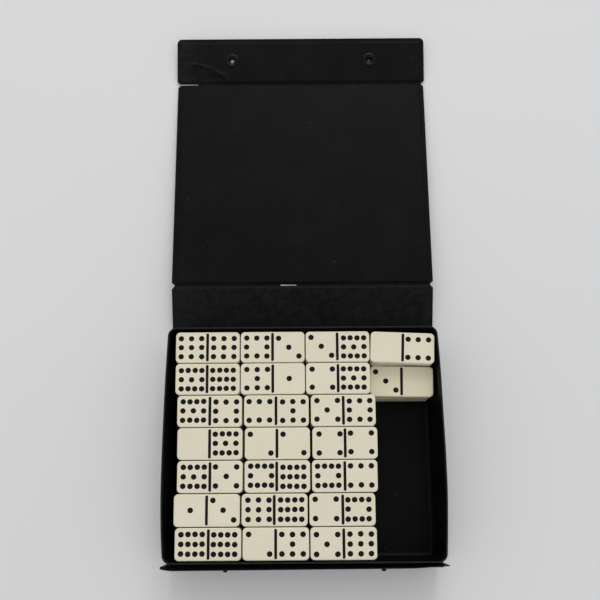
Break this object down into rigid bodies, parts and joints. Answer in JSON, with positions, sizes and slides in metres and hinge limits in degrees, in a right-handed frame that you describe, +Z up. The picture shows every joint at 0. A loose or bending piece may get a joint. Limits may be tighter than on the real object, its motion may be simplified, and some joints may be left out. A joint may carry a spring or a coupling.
{
  "type": "domino storage box",
  "caption": "Open snap-closing case for a domino set: a thin tray of stacked tiles in a wrap-around cover of stiffened vinyl panels with a lid, a spine and a flap.",
  "frame": {"origin": "centre of the bottom panel's underside, on the surface that the box lies on", "axes": "+Z up out of the tray; +Y from the front panel towards the spine and the open lid; +X to the right seen from the front panel"},
  "size_m": [0.2168, 0.4566, 0.0419],
  "materials": {
    "tray_plastic": "thin black moulded plastic, satin",
    "cover_vinyl": "black embossed vinyl, satin",
    "lining_vinyl": "black embossed vinyl, satin, slightly wrinkled",
    "stiffener_board": "grey greyboard",
    "snap_metal": "black-plated metal with bright worn edges",
    "snap_cap_enamel": "black enamel, gloss",
    "tile_ivory": "ivory resin, polished, with black pips and a black bar"
  },
  "bodies": {
    "case": {"tray": "tray_plastic", "bottom_board": "stiffener_board", "bottom_lining_ply": "lining_vinyl", "bottom_outer_ply": "cover_vinyl", "front_board": "stiffener_board", "front_lining_ply": "lining_vinyl", "front_outer_ply": "cover_vinyl", "snap_stud_left": "snap_metal", "snap_stud_right": "snap_metal", "snap_rivet_left": "snap_metal", "snap_rivet_right": "snap_metal", "tiles_layer_1": "tile_ivory", "tiles_layer_2": "tile_ivory", "tiles_layer_3": "tile_ivory", "tile_row_1_place_1": "tile_ivory", "tile_row_1_place_2": "tile_ivory", "tile_row_1_place_3": "tile_ivory", "tile_row_1_place_4": "tile_ivory", "tile_row_2_place_1": "tile_ivory", "tile_row_2_place_2": "tile_ivory", "tile_row_2_place_3": "tile_ivory", "tile_row_2_place_4": "tile_ivory", "tile_row_3_place_1": "tile_ivory", "tile_row_3_place_2": "tile_ivory", "tile_row_3_place_3": "tile_ivory", "tile_row_4_place_1": "tile_ivory", "tile_row_4_place_2": "tile_ivory", "tile_row_4_place_3": "tile_ivory", "tile_row_5_place_1": "tile_ivory", "tile_row_5_place_2": "tile_ivory", "tile_row_5_place_3": "tile_ivory", "tile_row_6_place_1": "tile_ivory", "tile_row_6_place_2": "tile_ivory", "tile_row_6_place_3": "tile_ivory", "tile_row_7_place_1": "tile_ivory", "tile_row_7_place_2": "tile_ivory", "tile_row_7_place_3": "tile_ivory"},
    "spine": {"spine_board": "stiffener_board", "spine_lining_ply": "lining_vinyl", "spine_outer_ply": "cover_vinyl"},
    "lid": {"lid_board": "stiffener_board", "lid_lining_ply": "lining_vinyl", "lid_outer_ply": "cover_vinyl"},
    "flap": {"flap_board": "stiffener_board", "flap_lining_ply": "lining_vinyl", "flap_outer_ply": "cover_vinyl", "snap_socket_left": "snap_metal", "snap_socket_right": "snap_metal", "snap_cap_left": "snap_cap_enamel", "snap_cap_right": "snap_cap_enamel"}
  },
  "joints": [
    {"name": "spine_fold", "type": "hinge", "parent": "case", "child": "spine", "pos_m": [0, 0.0912, 0.0014], "axis": [1, 0, 0], "range_deg": [0, 75]},
    {"name": "lid_fold", "type": "hinge", "parent": "spine", "child": "lid", "pos_m": [0, 0.13225, 0.0124], "axis": [1, 0, 0], "range_deg": [0, 108.36]},
    {"name": "flap_fold", "type": "hinge", "parent": "lid", "child": "flap", "pos_m": [0, 0.31913, 0.00142], "axis": [1, 0, 0], "range_deg": [0, 79.64]}
  ]
}
